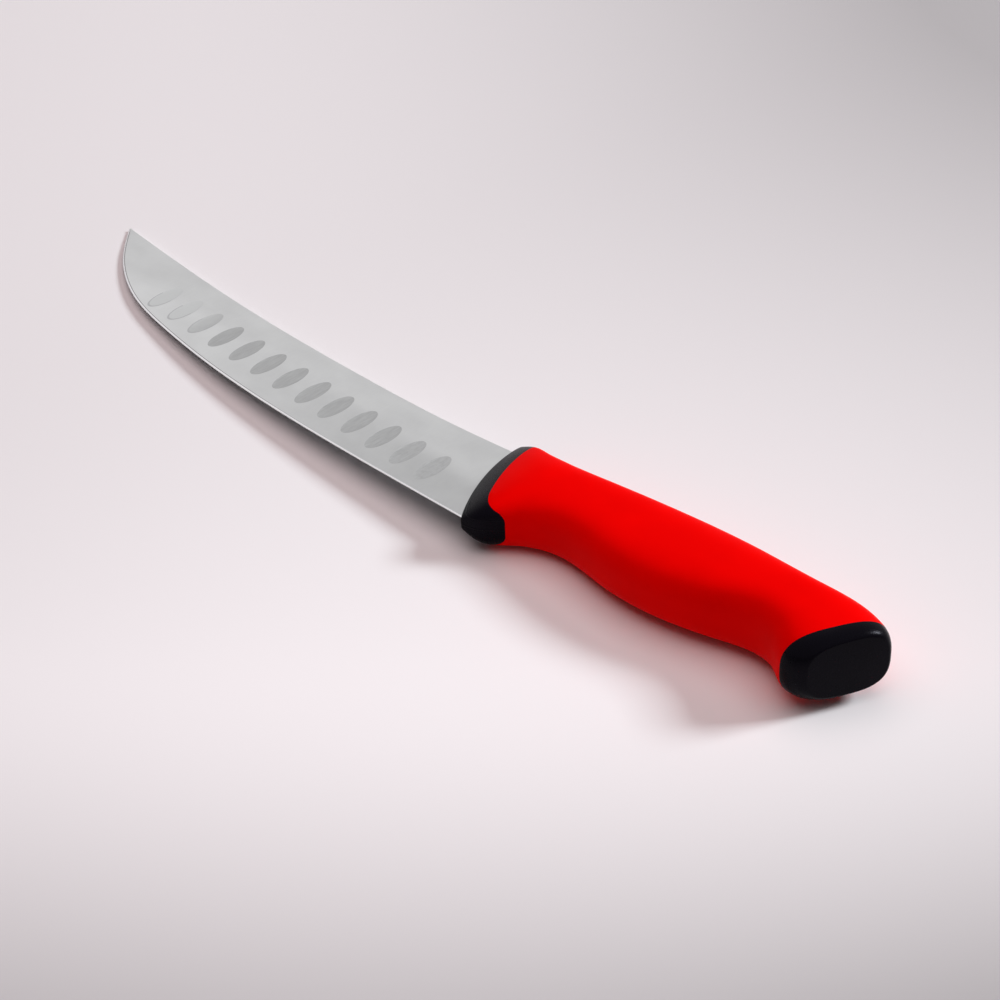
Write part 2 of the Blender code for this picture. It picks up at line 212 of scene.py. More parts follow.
def arcs(share):
    """A step of two round corners, steepest in its middle."""
    share = 2 * clamp(share) - 1
    return (1 + math.copysign(math.sqrt(1 - (1 - abs(share)) ** 2), share)) / 2


# ---------------------------------------------------------------- mesh helpers

def mesh_object(name, points, faces, finishes=(), slots=None):
    mesh = bpy.data.meshes.new(name)
    mesh.from_pydata(points, [], faces)
    for finish in finishes:
        mesh.materials.append(finish)
    if slots:
        mesh.polygons.foreach_set("material_index", slots)
    sheet = bmesh.new()
    sheet.from_mesh(mesh)
    bmesh.ops.recalc_face_normals(sheet, faces=sheet.faces)
    sheet.to_mesh(mesh)
    sheet.free()
    made = bpy.data.objects.new(name, mesh)
    bpy.context.scene.collection.objects.link(made)
    return made


def mirror_cap(start, size):
    """Close a ring whose points i and size - i lie straight across from each other."""
    half = size // 2
    faces = [(start, start + 1, start + size - 1)]
    for i in range(1, half - 1):
        faces.append((start + i, start + i + 1, start + size - i - 1, start + size - i))
    faces.append((start + half - 1, start + half, start + half + 1))
    return faces


def loft_faces(ring_count, size, closed=False):
    faces = []
    for k in range(ring_count if closed else ring_count - 1):
        near, far = k * size, (k + 1) % ring_count * size
        for i in range(size):
            j = (i + 1) % size
            faces.append((near + i, near + j, far + j, far + i))
    return faces


def cut(body, tool, transfer=False):
    """Cut one mesh out of another for good, and remove the cutter."""
    change = body.modifiers.new("cut", "BOOLEAN")
    change.operation = "DIFFERENCE"
    change.solver = "EXACT"
    change.object = tool
    if transfer:
        change.material_mode = "TRANSFER"
    graph = bpy.context.evaluated_depsgraph_get()
    mesh = bpy.data.meshes.new_from_object(body.evaluated_get(graph))
    mesh.name = body.name
    old = body.data
    body.modifiers.clear()
    body.data = mesh
    bpy.data.meshes.remove(old)
    bpy.data.objects.remove(tool)


def smooth(made, degrees):
    """Smooth shading, sharp at steep edges and where two finishes meet."""
    made.data.shade_smooth()
    sheet = bmesh.new()
    sheet.from_mesh(made.data)
    limit = math.radians(degrees)
    for edge in sheet.edges:
        if len(edge.link_faces) == 2:
            first, second = edge.link_faces
            apart = first.material_index != second.material_index
            edge.smooth = not apart and edge.calc_face_angle(0.0) < limit
    sheet.to_mesh(made.data)
    sheet.free()


# ---------------------------------------------------------------- the handle's form

handle_top = spline([
    (0.0, HEEL_SPINE_Y + 2.1 * MM),
    (0.045 * HANDLE_LENGTH, 27.1 * MM),
    (0.09 * HANDLE_LENGTH, 26.2 * MM),
    (0.14 * HANDLE_LENGTH, 26.8 * MM),
    (0.19 * HANDLE_LENGTH, 27.7 * MM),
    (0.27 * HANDLE_LENGTH, 29.55 * MM),
    (0.40 * HANDLE_LENGTH, 32.75 * MM),
    (0.65 * HANDLE_LENGTH, 35.6 * MM),
    (0.80 * HANDLE_LENGTH, 35.5 * MM),
    (0.92 * HANDLE_LENGTH, 35.7 * MM),
    (1.0 * HANDLE_LENGTH, 31.8 * MM),
])
handle_bottom = spline([
    (0.0, HEEL_EDGE_Y - 2.2 * MM),
    (0.07 * HANDLE_LENGTH, -10.35 * MM),
    (0.145 * HANDLE_LENGTH, -4.6 * MM),
    (0.24 * HANDLE_LENGTH, 1.2 * MM),
    (0.40 * HANDLE_LENGTH, 0.5 * MM),
    (0.55 * HANDLE_LENGTH, 1.6 * MM),
    (0.67 * HANDLE_LENGTH, 6.3 * MM),
    (0.78 * HANDLE_LENGTH, 10.75 * MM),
    (0.87 * HANDLE_LENGTH, 8.3 * MM),
    (0.94 * HANDLE_LENGTH, 4.5 * MM),
    (1.0 * HANDLE_LENGTH, 5.5 * MM),
])
handle_half_width = spline([
    (0.0, HANDLE_HALF_WIDTH),
    (0.27 * HANDLE_LENGTH, WAIST_HALF_WIDTH),
    (0.55 * HANDLE_LENGTH, mix(WAIST_HALF_WIDTH, BUTT_HALF_WIDTH, 0.35)),
    (0.80 * HANDLE_LENGTH, BUTT_HALF_WIDTH),
    (1.0 * HANDLE_LENGTH, END_HALF_WIDTH),
])


def front_x(y):
    """The curved line where the handle starts on the blade."""
    below = HEEL_SPINE_Y - y
    return FRONT_TOP_X + FRONT_LEAN * below + below * below / (2 * FRONT_RADIUS)


def centre_y(u):
    return (handle_top(u) + handle_bottom(u)) / 2


FRONT_CENTRE_X = front_x(centre_y(0.0))
BUTT_SLANT_START = HANDLE_LENGTH - BUTT_SLANT_LENGTH
BUTT_LINE_U = HANDLE_LENGTH - BUTT_CAP_LENGTH


def skin_point(u, angle, inset=0.0):
    """A point on the handle at station u, at an angle round its section, under the surface by inset."""
    rounding = 0.0
    if u > HANDLE_LENGTH - BUTT_ROUNDING:
        along = clamp((u - HANDLE_LENGTH + BUTT_ROUNDING) / BUTT_ROUNDING)
        rounding = BUTT_INSET * (1 - math.sqrt(1 - along * along))
    nose = clamp(u / NOSE_LENGTH)
    power = mix(NOSE_POWER, SECTION_POWER, ease(nose))
    butt = ease((u - BUTT_SLANT_START) / (HANDLE_LENGTH - BUTT_SLANT_START))
    power += (BUTT_POWER - SECTION_POWER) * butt
    lip = BLADE_STOCK / 2 + GAP + NOSE_LIP
    half_width = mix(lip, handle_half_width(u), 1 - (1 - nose) ** NOSE_CURVE) - inset - rounding
    top, bottom = handle_top(u), handle_bottom(u)
    middle = (top + bottom) / 2
    half_height = (top - bottom) / 2 - inset - rounding
    across, up = math.sin(angle), math.cos(angle)
    reach = (abs(across) ** power + abs(up) ** power) ** (-1 / power)
    y = middle + half_height * up * reach
    egg = 1 + BUTT_EGG * butt * (y - middle) / half_height
    z = half_width * egg * across * reach
    front = max(0.0, 1 - u / FRONT_FADE) ** 2
    slant = BUTT_SLANT * clamp((u - BUTT_SLANT_START) / (HANDLE_LENGTH - BUTT_SLANT_START)) ** 2
    x = FRONT_CENTRE_X + u + front * (front_x(y) - FRONT_CENTRE_X) + slant * (y - BUTT_SLANT_Y)
    return x, y, z


ANGLES = [2 * math.pi * i / RING_POINTS for i in range(RING_POINTS)]
HALVINGS = 30


def collar_line(y, z, gap=0.0):
    """Where the red grip starts: along the front, with a step back round the finger guard's foot."""
    above = y + abs(z)
    swell = COLLAR_SWELL * ease((COLLAR_SWELL_START + gap - above) / COLLAR_SWELL_LENGTH)
    step = COLLAR_STEP * arcs((COLLAR_STEP_START + 1.5 * gap - above) / COLLAR_STEP_LENGTH)
    return front_x(y) + COLLAR_WIDTH + COLLAR_FLARE * (HEEL_SPINE_Y - y) + swell + step + gap


BUTT_LINE_Y = centre_y(BUTT_LINE_U)


def butt_line(y, _z, gap=0.0):
    """Where the red grip ends: straight across, leaning back towards the spine side."""
    return FRONT_CENTRE_X + BUTT_LINE_U + BUTT_LINE_SLANT * (y - BUTT_LINE_Y) - gap


def halve(before):
    """The station up to which a test of stations holds."""
    low, high = 0.0, HANDLE_LENGTH
    for _ in range(HALVINGS):
        u = (low + high) / 2
        if before(u):
            low = u
        else:
            high = u
    return (low + high) / 2


def line_stations(line, gap=0.0, inset=0.0):
    """The station at each angle of a line drawn on the skin."""
    stations = []
    for angle in ANGLES:
        def before(u):
            x, y, z = skin_point(u, angle)
            return x < line(y, z, gap)

        station = halve(before)
        if inset:
            end_x = skin_point(station, angle)[0]
            station = halve(lambda u: skin_point(u, angle, inset)[0] < end_x)
        stations.append(station)
    return stations


def skin_ring(stations, inset=0.0):
    return [skin_point(u, angle, inset) for u, angle in zip(stations, ANGLES)]


def skin_rings(first, last, count, inset=0.0):
    rings = []
    for k in range(count + 1):
        share = k / count
        rings.append(skin_ring([mix(a, b, share) for a, b in zip(first, last)], inset))
    return rings


# ---------------------------------------------------------------- the blade's form

spine_y = spline([
    (0.00, HEEL_SPINE_Y),
    (0.17, HOLLOW_SPINE_Y + 3.1 * MM),
    (0.36, HOLLOW_SPINE_Y + 0.8 * MM),
    (0.57, HOLLOW_SPINE_Y),
    (0.78, HOLLOW_SPINE_Y + 1.3 * MM),
    (1.00, TIP_Y),
])
EDGE_SWEEP = TIP_Y - TIP_HEIGHT - BELLY_EDGE_Y
edge_y = spline([
    (0.00, HEEL_EDGE_Y),
    (0.25, mix(BELLY_EDGE_Y, HEEL_EDGE_Y, 0.22)),
    (0.42, BELLY_EDGE_Y),
    (0.57, BELLY_EDGE_Y + 0.03 * EDGE_SWEEP),
    (0.71, BELLY_EDGE_Y + 0.12 * EDGE_SWEEP),
    (0.81, BELLY_EDGE_Y + 0.245 * EDGE_SWEEP),
    (0.875, BELLY_EDGE_Y + 0.41 * EDGE_SWEEP),
    (0.941, BELLY_EDGE_Y + 0.67 * EDGE_SWEEP),
    (1.00, BELLY_EDGE_Y + EDGE_SWEEP),
])


def half_stock(x):
    return mix(BLADE_STOCK, BLADE_TIP_THICKNESS, clamp(-x / BLADE_LENGTH)) / 2


def ring_of(x, levels, grow):
    """A ring round the blade from (y, half thickness) levels, top to bottom, grown all round."""
    top, bottom = levels[0][0], levels[-1][0]
    side = []
    for y, half in levels:
        shift = grow if y == top else -grow if y == bottom else 0.0
        side.append((x, y + shift, half + grow))
    return side + [(px, py, -pz) for px, py, pz in reversed(side)]


def blade_ring(x, grow=0.0, top=None):
    """A ring at x: eased spine, upper flat, grind, the fine line above the bevel, bevel and edge."""
    share = -x / BLADE_LENGTH
    top_y = spine_y(share) if top is None else top
    bottom_y = edge_y(share)
    height = top_y - bottom_y
    slope = (edge_y(share + 0.005) - edge_y(share - 0.005)) / (0.01 * BLADE_LENGTH)
    bevel = min(mix(HEEL_BEVEL_WIDTH, BEVEL_WIDTH, clamp(2 * share)) * math.hypot(1, slope), 0.4 * height)
    flat = half_stock(x)
    behind = min(THICKNESS_BEHIND_EDGE / 2, 0.8 * flat)
    edge = min(EDGE_THICKNESS / 2, 0.5 * behind)
    flat_end = mix(top_y, bottom_y, FLAT_SHARE)
    bevel_y = bottom_y + bevel
    line = min(LINE_WIDTH * math.hypot(1, slope), 0.3 * (flat_end - bevel_y))
    line_half = behind + (flat - behind) * line / (flat_end - bevel_y)
    chamfer = 0.0 if grow else min(SPINE_CHAMFER, 0.1 * height)
    eased = [(top_y - chamfer / 3, flat - chamfer / 3), (top_y - chamfer, flat)]
    if grow:
        eased = [(mix(top_y, flat_end, 1 / 3), flat), (mix(top_y, flat_end, 2 / 3), flat)]
    levels = [(top_y, flat - chamfer)] + eased
    levels += [(flat_end, flat), (bevel_y + line, line_half), (bevel_y, behind), (bottom_y, edge)]
    return ring_of(x, levels, grow)


LEVELS = 7


def tang_ring(x, top, bottom, grow=0.0):
    half = BLADE_STOCK / 2
    levels = [(mix(top, bottom, k / (LEVELS - 1)), half) for k in range(LEVELS)]
    return ring_of(x, levels, grow)


def tang_half_height(x):
    return mix(TANG_HEIGHT, TANG_END_HEIGHT, clamp(x / TANG_LENGTH)) / 2


def tang_y(x):
    return centre_y(x - FRONT_CENTRE_X)


def shoulder_rings(grow):
    rings = []
    low = tang_y(0.0) + tang_half_height(0.0)
    top = HEEL_SPINE_Y - SEAT_DEPTH / 8
    for k in range(SHOULDER_STEPS + 1):
        y = mix(top, low, k / SHOULDER_STEPS)
        rings.append(blade_ring(front_x(y) + SEAT_DEPTH + grow, grow, y))
    return rings


def tang_rings(grow):
    shoulder_x = front_x(HEEL_EDGE_Y) + SEAT_DEPTH + grow
    rings = [blade_ring(shoulder_x, grow, tang_y(shoulder_x) + tang_half_height(shoulder_x))]
    for k in range(TANG_STEPS + 1):
        x = mix(shoulder_x + SHOULDER_RUN, TANG_LENGTH, k / TANG_STEPS)
        half = tang_half_height(x)
        rings.append(tang_ring(x, tang_y(x) + half, tang_y(x) - half, grow))
    if grow:
        half = tang_half_height(TANG_LENGTH)
        middle = tang_y(TANG_LENGTH)
        rings.append(tang_ring(TANG_LENGTH + grow, middle + half, middle - half, grow))
    return rings


def blade_shape(name, first_x, stations, grow=0.0, finishes=()):
    """The blade and its tang from first_x back, as one closed loft with its rings closest at the tip."""
    last_x = FRONT_TOP_X + SEAT_DEPTH / 2
    rings = []
    for k in range(stations + 1):
        share = math.cos(k / stations * math.pi / 2)
        rings.append(blade_ring(mix(last_x, first_x, share), grow))
    rings += shoulder_rings(grow)
    blade_rings = len(rings)
    rings += tang_rings(grow)
    size = len(rings[0])
    faces = loft_faces(len(rings), size)
    slots = []
    for face in faces:
        level = face[0] % size
        level = min(level, size - 2 - level)
        strip = level == LEVELS - 3 and face[0] // size < blade_rings
        bevel = level >= LEVELS - 2 and face[0] // size < blade_rings
        slots.append(1 if strip else 2 if bevel else 0)
    faces += [tuple(range(size)), tuple(range((len(rings) - 1) * size, len(rings) * size))]
    slots += [0, 0]
    points = [point for ring in rings for point in ring]
    return mesh_object(name, points, faces, finishes, slots if finishes else None)


def oval_cutter(finishes):
    """One mesh of shallow bowls, a row on each side of the blade.

    The faint ones keep a darker rim on the side of the edge, a painted shade.
    """
    points, faces, slots = [], [], []
    for side in (1, -1):
        for k in range(OVAL_COUNT):
            x = OVAL_FIRST_X - k * OVAL_PITCH
            y = OVAL_ROW_RISE * (k / (OVAL_COUNT - 1)) ** 2
            ring = blade_ring(x)
            (_, y_flat, flat), (_, y_bevel, behind) = ring[3], ring[5]
            slope = (flat - behind) / (y_flat - y_bevel)
            middle = behind + slope * (y - y_bevel)
            start = len(points)
            bowl = [(0.0, 0.0, -OVAL_FLAT_DEPTH)]
            for radius in BOWL_RADII:
                for i in range(OVAL_POINTS):
                    turn = 2 * math.pi * i / OVAL_POINTS
                    across = radius * OVAL_WIDTH / 2 * math.cos(turn)
                    along = radius * OVAL_LENGTH / 2 * math.sin(turn)
                    bowl.append((across, along, OVAL_FLAT_DEPTH * (radius ** OVAL_POWER - 1)))
            for px, py, pz in bowl:
                ox = px * math.cos(OVAL_LEAN) - py * math.sin(OVAL_LEAN)
                oy = px * math.sin(OVAL_LEAN) + py * math.cos(OVAL_LEAN)
                points.append((x + ox, y + oy, side * (middle + slope * oy + pz)))
            first = start + 1
            for i in range(OVAL_POINTS):
                faces.append((start, first + i, first + (i + 1) % OVAL_POINTS))
                slots.append(0)
            for face in loft_faces(len(BOWL_RADII), OVAL_POINTS):
                faces.append(tuple(first + i for i in face))
                # Painted shade on the edge-side rim of the faint ovals
                rim = k >= OVAL_COUNT - FAINT_OVALS and face[0] // OVAL_POINTS >= SHADE_RIM_FIRST_BAND
                slots.append(1 if rim and face[0] % OVAL_POINTS >= SHADE_RIM_FIRST_POINT else 0)
            lid = first + (len(BOWL_RADII) - 1) * OVAL_POINTS
            faces.append(tuple(range(lid, lid + OVAL_POINTS)))
            slots.append(0)
    return mesh_object("oval_cutter", points, faces, finishes, slots)


def cross_pins(diameter, length):
    """Round bars through the tang's holes."""
    points, faces = [], []
    count = 32
    radius = diameter / 2
    for k in range(TANG_HOLE_COUNT):
        x = TANG_FIRST_HOLE_X + k * TANG_HOLE_SPACING
        y = tang_y(x)
        start = len(points)
        for z in (-length / 2, length / 2):
            for i in range(count):
                turn = 2 * math.pi * i / count
                points.append((x + radius * math.cos(turn), y + radius * math.sin(turn), z))
        faces += [tuple(start + i for i in face) for face in loft_faces(2, count)]
        faces += [tuple(range(start, start + count)), tuple(range(start + count, start + 2 * count))]
    return mesh_object("pins", points, faces)


# ---------------------------------------------------------------- finishes

def add(tree, kind, inputs=(), **settings):
    """Add a node. Inputs are (name or number, value or socket) pairs."""
    node = tree.nodes.new(kind)
    for key, value in settings.items():
        setattr(node, key, value)
    for key, value in inputs:
        if isinstance(value, bpy.types.NodeSocket):
            tree.links.new(value, node.inputs[key])
        else:
            node.inputs[key].default_value = value
    return node


def finish_of(name, roughness, metallic=0.0, specular=0.5, tint=(1, 1, 1)):
    made = bpy.data.materials.new(name)
    made.use_nodes = True
    tree = made.node_tree
    shader = tree.nodes["Principled BSDF"]
    shader.inputs["Roughness"].default_value = roughness
    shader.inputs["Metallic"].default_value = metallic
    shader.inputs["Specular IOR Level"].default_value = specular
    shader.inputs["Specular Tint"].default_value = (*tint, 1)
    return made, tree, shader


def knife_place(tree):
    """Coordinates in the knife's own frame, in metres."""
    place = add(tree, "ShaderNodeTexCoord").outputs["Object"]
    laid = (("Vector", place), ("Location", REST_PLACE), ("Rotation", (0.0, -LEAN, 0.0)))
    return add(tree, "ShaderNodeMapping", laid, vector_type="TEXTURE").outputs[0]


def noise(tree, place, scale, detail=2.0, rough=0.5):
    """Noise with that many waves a metre along each axis."""
    spread = add(tree, "ShaderNodeMapping", (("Vector", place), ("Scale", scale))).outputs[0]
    inputs = (("Vector", spread), ("Scale", 1.0), ("Detail", detail), ("Roughness", rough))
    return add(tree, "ShaderNodeTexNoise", inputs).outputs["Fac"]


def remap(tree, value, low, high, to_low, to_high):
    inputs = ((0, value), (1, low), (2, high), (3, to_low), (4, to_high))
    return add(tree, "ShaderNodeMapRange", inputs, interpolation_type="SMOOTHSTEP").outputs[0]


def maths(tree, operation, first, second):
    return add(tree, "ShaderNodeMath", ((0, first), (1, second)), operation=operation).outputs[0]


def blend(tree, share, low, high):
    """Mix two colours, each a triple or a socket."""
    colours = []
    for colour in (low, high):
        colours.append(colour if isinstance(colour, bpy.types.NodeSocket) else (*colour, 1))
    inputs = ((0, share), (6, colours[0]), (7, colours[1]))
    return add(tree, "ShaderNodeMix", inputs, data_type="RGBA").outputs[2]


def bump(tree, shader, height, distance, strength=1.0):
    inputs = (("Height", height), ("Distance", distance), ("Strength", strength))
    tree.links.new(add(tree, "ShaderNodeBump", inputs).outputs[0], shader.inputs["Normal"])


def axis(tree, place, name):
    return add(tree, "ShaderNodeSeparateXYZ", ((0, place),)).outputs[name]


def steel_finish(name, dark, pale, rough, rougher, faded=None):
    """Satin steel: fine lines ground across the blade and faint clouds.

    It is painted paler towards the tip and darker towards the heel, darkest low on the heel: a painted
    reflection. A faded colour takes over towards the heel.
    """
    made, tree, shader = finish_of(name, rough, 1.0)
    place = knife_place(tree)
    clouds = noise(tree, place, (55, 90, 90), 3.0)
    lines = noise(tree, place, (7000, 260, 400), 3.0, 0.6)
    both = maths(tree, "ADD", maths(tree, "MULTIPLY", clouds, 0.6), maths(tree, "MULTIPLY", lines, 0.4))
    x, y = axis(tree, place, 0), axis(tree, place, 1)
    # Painted reflection: the steel is paler towards the tip and darker towards the heel, darkest low on the
    # heel.
    flat_painted_reflection = remap(tree, x, -85 * MM, 0.0, 0.62, 0.44)
    grind_painted_reflection = remap(tree, x, -160 * MM, -10 * MM, 0.84, 0.10)
    tone = remap(tree, y, 0.0, 8 * MM, grind_painted_reflection, flat_painted_reflection)
    share = maths(tree, "ADD", tone, remap(tree, both, 0.3, 0.7, -0.14, 0.14))
    colour = blend(tree, share, dark, pale)
    if faded:
        near = remap(tree, x, -120 * MM, -50 * MM, 0.0, 1.0)
        colour = blend(tree, near, colour, faded)
    tree.links.new(colour, shader.inputs["Base Color"])
    tree.links.new(remap(tree, lines, 0.3, 0.7, rough, rougher), shader.inputs["Roughness"])
    bump(tree, shader, lines, 0.004 * MM, 0.6)
    return made


def oval_finish():
    """Ovals ground along their length: darker and rougher, faint towards the tip."""
    made, tree, shader = finish_of("oval_steel", 0.5, 1.0)
    place = knife_place(tree)
    streaks = noise(tree, place, (2600, 220, 400), 4.0, 0.65)
    mottle = noise(tree, place, (900, 700, 700), 3.0, 0.6)
    x = axis(tree, place, 0)
    share = remap(tree, streaks, 0.3, 0.7, 0.0, 1.0)
    plain = blend(tree, share, (0.455, 0.474, 0.461), (0.54, 0.561, 0.546))
    mottled = blend(tree, remap(tree, mottle, 0.35, 0.65, 0.0, 1.0), plain, (0.58, 0.60, 0.59))
    near = remap(tree, x, -45 * MM, -28 * MM, 0.0, 0.45)
    colour = blend(tree, near, plain, mottled)
    faint = remap(tree, x, -150 * MM, -128 * MM, 0.92, 0.0)
    tree.links.new(blend(tree, faint, colour, (0.70, 0.731, 0.71)), shader.inputs["Base Color"])
    tree.links.new(remap(tree, streaks, 0.3, 0.7, 0.42, 0.52), shader.inputs["Roughness"])
    bump(tree, shader, streaks, 0.012 * MM, 0.7)
    return made


def plastic_finish():
    """Black moulded plastic with a very fine grain, slightly polished at the butt."""
    made, tree, shader = finish_of("black_plastic", 0.3, 0.0, 0.055, (0.9, 0.82, 1.0))
    place = knife_place(tree)
    grain = noise(tree, place, (2400, 2400, 2400), 2.0, 0.6)
    wide = noise(tree, place, (120, 120, 120), 2.0)
    share = remap(tree, wide, 0.3, 0.7, 0.0, 1.0)
    colour = blend(tree, share, (0.0010, 0.0009, 0.0022), (0.0017, 0.0014, 0.0032))
    tree.links.new(colour, shader.inputs["Base Color"])
    polish = remap(tree, axis(tree, place, 0), 112 * MM, 126 * MM, 0.0, 0.07)
    rough = maths(tree, "SUBTRACT", remap(tree, grain, 0.3, 0.7, 0.24, 0.36), polish)
    tree.links.new(rough, shader.inputs["Roughness"])
    # Two fine mould seams along the finger guard's foot
    across = axis(tree, place, 2)
    seams = 0.0
    for at in (0.0, 3.5 * MM):
        aside = maths(tree, "ABSOLUTE", maths(tree, "SUBTRACT", across, at), 0.0)
        seams = maths(tree, "ADD", seams, remap(tree, aside, 0.1 * MM, 0.3 * MM, 1.0, 0.0))
    seams = maths(tree, "MULTIPLY", seams, remap(tree, axis(tree, place, 0), 18 * MM, 24 * MM, 2.5, 0.0))
    seams = maths(tree, "MULTIPLY", seams, remap(tree, axis(tree, place, 1), -7 * MM, -4 * MM, 1.0, 0.0))
    bump(tree, shader, maths(tree, "ADD", grain, seams), 0.035 * MM, 1.0)
    return made


def rubber_finish():
    """Red soft plastic: matt, with a fine grain and a slight cloudiness."""
    made, tree, shader = finish_of("red_soft_plastic", 0.55, 0.0, 0.03, (1.0, 0.0, 0.0))
    place = knife_place(tree)
    grain = noise(tree, place, (3600, 3600, 3600), 3.0, 0.6)
    wide = noise(tree, place, (70, 70, 70), 2.0)
    share = remap(tree, wide, 0.3, 0.7, 0.0, 1.0)
    colour = blend(tree, share, (0.865, 0.0003, 0.0002), (0.905, 0.0004, 0.0003))
    tree.links.new(colour, shader.inputs["Base Color"])
    tree.links.new(remap(tree, grain, 0.3, 0.7, 0.5, 0.62), shader.inputs["Roughness"])
    bump(tree, shader, grain, 0.02 * MM, 0.5)
    return made


# ---------------------------------------------------------------- pieces

def put(made, node):
    """Lay a finished piece down and let it stand for its CAD node."""
    made.data.transform(Matrix.Translation(REST_PLACE) @ Matrix.Rotation(-LEAN, 4, "Y"))
    for vertex in made.data.vertices:
        vertex.co = [clamp(v, low, high) for v, low, high in zip(vertex.co, cad_box[0], cad_box[1])]
    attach(made, "root")
    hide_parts(node)
    return made


def make_blade():
    steel = steel_finish("satin_steel", (0.55, 0.574, 0.558), (0.80, 0.835, 0.811), 0.36, 0.44)
    # A thin darker line above the bevel, fading to the steel's colour towards the heel.
    line = steel_finish("dark_line_above_bevel", (0.24, 0.24, 0.24), (0.32, 0.32, 0.32), 0.4, 0.5, (0.60, 0.62, 0.61))
    # The bevel: polished steel, its near-white colour a painted reflection.
    bevel = steel_finish("bevel_steel_painted_reflection", (0.90, 0.92, 0.91), (0.97, 0.99, 0.98), 0.25, 0.35)
    blade = blade_shape("knife_blade", -BLADE_LENGTH, BLADE_STATIONS, 0.0, [steel, line, bevel])
    # Painted shade: a darker rim on the edge side of the faint ovals
    rim = steel_finish("painted_shade_rim", (0.47, 0.488, 0.476), (0.57, 0.59, 0.58), 0.42, 0.52)
    cut(blade, oval_cutter([oval_finish(), rim]), True)
    cut(blade, cross_pins(TANG_HOLE, 4 * BLADE_STOCK))
    smooth(blade, SHARP_STEEL)
    return put(blade, "blade")


def make_core():
    plastic = plastic_finish()
    start, end = [0.0] * RING_POINTS, [HANDLE_LENGTH] * RING_POINTS
    inset = GRIP_WALL + GAP
    collar_end, cap_start = line_stations(collar_line), line_stations(butt_line)
    core_start, core_end = line_stations(collar_line, 0.0, inset), line_stations(butt_line, 0.0, inset)
    rings = []
    for k in range(ROUNDING_STEPS):
        turn = k / ROUNDING_STEPS * math.pi / 2
        u = FRONT_ROUNDING * (1 - math.cos(turn))
        rings.append(skin_ring([u] * RING_POINTS, FRONT_ROUNDING * (1 - math.sin(turn))))
    rings += skin_rings([FRONT_ROUNDING] * RING_POINTS, collar_end, COLLAR_STEPS)
    rings += skin_rings(core_start, core_end, CORE_STEPS, inset)
    for k in range(CAP_STEPS + 1):
        share = math.sin(k / CAP_STEPS * math.pi / 2)
        rings.append(skin_ring([mix(a, b, share) for a, b in zip(cap_start, end)]))
    faces = loft_faces(len(rings), RING_POINTS)
    faces += mirror_cap(0, RING_POINTS) + mirror_cap((len(rings) - 1) * RING_POINTS, RING_POINTS)
    points = [point for ring in rings for point in ring]
    core = mesh_object("collar_and_butt_cap", points, faces, [plastic])
    slot = blade_shape("tang_slot", FRONT_TOP_X - TANG_HEIGHT, SLOT_STATIONS, SLOT_GAP)
    cut(slot, cross_pins(TANG_HOLE - 2 * GAP, 8 * BLADE_STOCK))
    cut(core, slot)
    smooth(core, SHARP_PLASTIC)
    return put(core, "handle_core")


def make_grip():
    rubber = rubber_finish()
    outer_start, outer_end = line_stations(collar_line, JOINT), line_stations(butt_line, JOINT)
    inner_start = line_stations(collar_line, 2 * GAP, GRIP_WALL)
    inner_end = line_stations(butt_line, 2 * GAP, GRIP_WALL)
    rings = skin_rings(outer_start, outer_end, GRIP_STEPS)
    rings += list(reversed(skin_rings(inner_start, inner_end, CORE_STEPS, GRIP_WALL)))
    faces = loft_faces(len(rings), RING_POINTS, closed=True)
    grip = mesh_object("red_grip", [point for ring in rings for point in ring], faces, [rubber])
    smooth(grip, SHARP_PLASTIC)
    return put(grip, "soft_grip")


# ---------------------------------------------------------------- stage, light and camera

# A pool of light painted on the floor: its tone falls off from its brightest place: depth, direction, start
# and width of each fall.
# Directions are in radians.
FLOOR_COLOUR = (0.838, 0.820, 0.853)
FLOOR_LIGHT_POOL_PEAK = 1.296
FLOOR_LIGHT_POOL_LOWEST = 0.55
FLOOR_LIGHT_POOL_FALLS = ((1.0, -0.735, 0.094, 0.247), (0.288, 3.073, -0.232, 0.365), (0.959, 1.007, -0.092, 0.70))
FLOOR_REACH = 8.0

# The room's light, and the wall that the camera and the steel see in its place
ROOM_COLOUR = (1.10, 0.95, 0.92, 1)
ROOM_LEVEL = 0.055
WALL_LOW = (0.50, 0.475, 0.49)
WALL_HIGH = (0.80, 0.76, 0.79)
WALL_RISE = 0.36

# Solved from the photograph
LENS = 89.2754
CAMERA_PLACE = (0.47765, -0.40234, 0.4603)
CAMERA_TURN = (52.4988, 0.2115, 47.6223)


def make_floor():
    made = bpy.data.materials.new("pale_floor")
    made.use_nodes = True
    tree = made.node_tree
    shader = tree.nodes["Principled BSDF"]
    shader.inputs["Roughness"].default_value = 0.9
    shader.inputs["Specular IOR Level"].default_value = 0.0
    place = add(tree, "ShaderNodeTexCoord").outputs["Object"]
    # Painted light: the floor's colour is scaled by a pool of light that falls off in these directions.
    level = FLOOR_LIGHT_POOL_PEAK
    for depth, turn, start, width in FLOOR_LIGHT_POOL_FALLS:
        facing = (("Vector", place), (1, (math.cos(turn), math.sin(turn), 0.0)))
        along = add(tree, "ShaderNodeVectorMath", facing, operation="DOT_PRODUCT").outputs["Value"]
        level = maths(tree, "SUBTRACT", level, remap(tree, along, start, start + width, 0.0, depth))
    level = maths(tree, "MAXIMUM", level, FLOOR_LIGHT_POOL_LOWEST)
    scaled = ((0, FLOOR_COLOUR), ("Scale", level))
    colour = add(tree, "ShaderNodeVectorMath", scaled, operation="SCALE").outputs[0]
    tree.links.new(colour, shader.inputs["Base Color"])
    reach = FLOOR_REACH
    corners = [(-reach, -reach, 0), (reach, -reach, 0), (reach, reach, 0), (-reach, reach, 0)]
    floor = mesh_object("floor", corners, [(0, 1, 2, 3)], [made])
    return floor


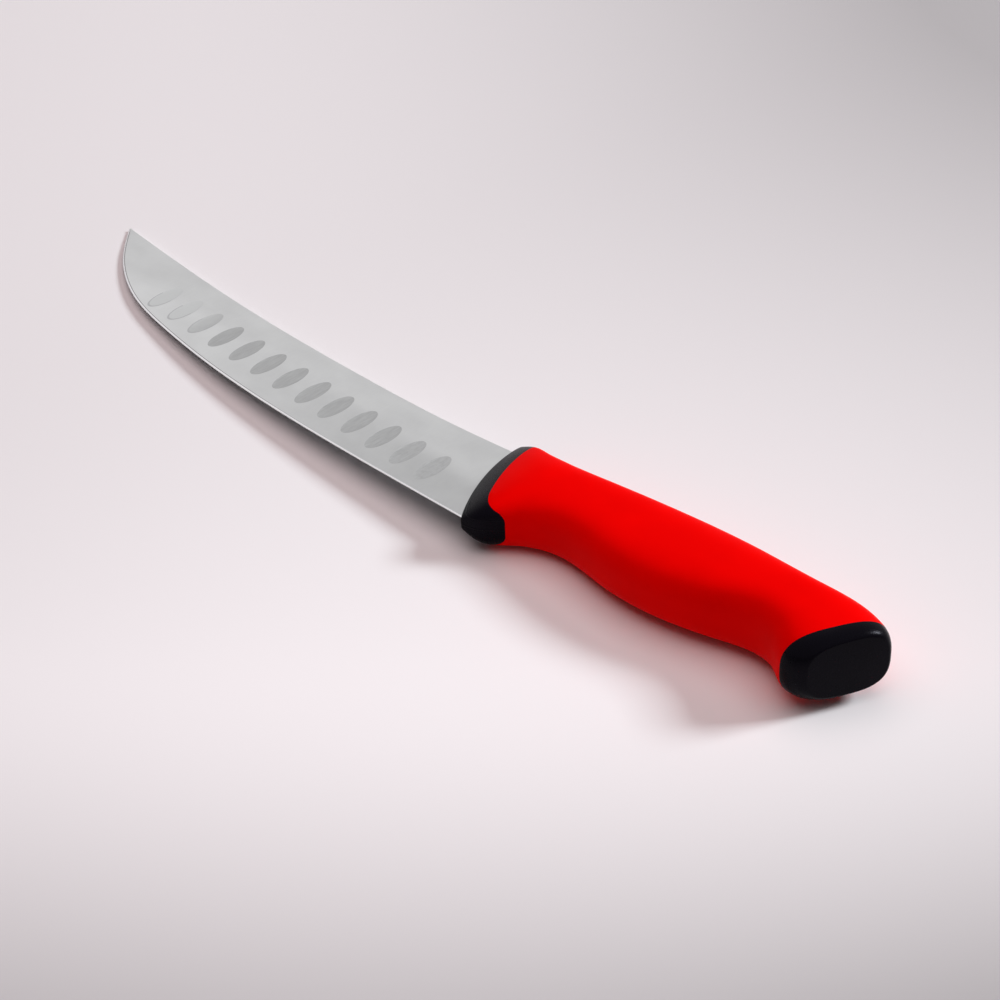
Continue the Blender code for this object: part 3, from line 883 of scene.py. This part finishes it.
def make_world():
    world = bpy.data.worlds.new("soft_room")
    world.use_nodes = True
    tree = world.node_tree
    tree.nodes.clear()
    path = add(tree, "ShaderNodeLightPath")
    seen = maths(tree, "ADD", path.outputs["Is Camera Ray"], path.outputs["Is Glossy Ray"])
    seen = maths(tree, "ADD", seen, path.outputs["Is Transmission Ray"])
    seen = maths(tree, "MINIMUM", seen, 1.0)
    lit = (("Color", ROOM_COLOUR), ("Strength", ROOM_LEVEL))
    light = add(tree, "ShaderNodeBackground", lit).outputs[0]
    rise = axis(tree, add(tree, "ShaderNodeTexCoord").outputs["Generated"], 2)
    wall = blend(tree, remap(tree, rise, 0.0, WALL_RISE, 0.0, 1.0), WALL_LOW, WALL_HIGH)
    pale = add(tree, "ShaderNodeBackground", (("Color", wall), ("Strength", 1.0))).outputs[0]
    both = add(tree, "ShaderNodeMixShader", ((0, seen), (1, light), (2, pale))).outputs[0]
    out = tree.nodes.new("ShaderNodeOutputWorld")
    tree.links.new(both, out.inputs["Surface"])
    bpy.context.scene.world = world


def make_lamp(name, place, target, size, power, colour=(1, 1, 1)):
    data = bpy.data.lights.new(name, "AREA")
    data.shape = "SQUARE"
    data.size = size
    data.energy = power
    data.color = colour
    lamp = bpy.data.objects.new(name, data)
    bpy.context.scene.collection.objects.link(lamp)
    lamp.location = place
    lamp.rotation_euler = (Vector(target) - Vector(place)).to_track_quat("-Z", "Y").to_euler()
    return lamp


def make_camera():
    data = bpy.data.cameras.new("photo_camera")
    data.sensor_width = 36.0
    data.lens = LENS
    data.clip_start = 0.01
    data.clip_end = 50.0
    camera = bpy.data.objects.new("photo_camera", data)
    bpy.context.scene.collection.objects.link(camera)
    camera.location = CAMERA_PLACE
    camera.rotation_euler = [math.radians(angle) for angle in CAMERA_TURN]
    bpy.context.scene.camera = camera


make_blade()
make_core()
make_grip()
make_floor()
make_world()
make_lamp("key", (1.39, 2.30, 1.75), (0.05, 0.0, 0.01), 0.81, 82.0, (0.94, 1.03, 1.035))
make_lamp("top", (0.0, 0.0, 1.8), (0.0, 0.0, 0.0), 2.4, 22.0, (1.13, 0.95, 0.93)).visible_glossy = False
make_camera()
bpy.context.scene.view_settings.view_transform = "Standard"
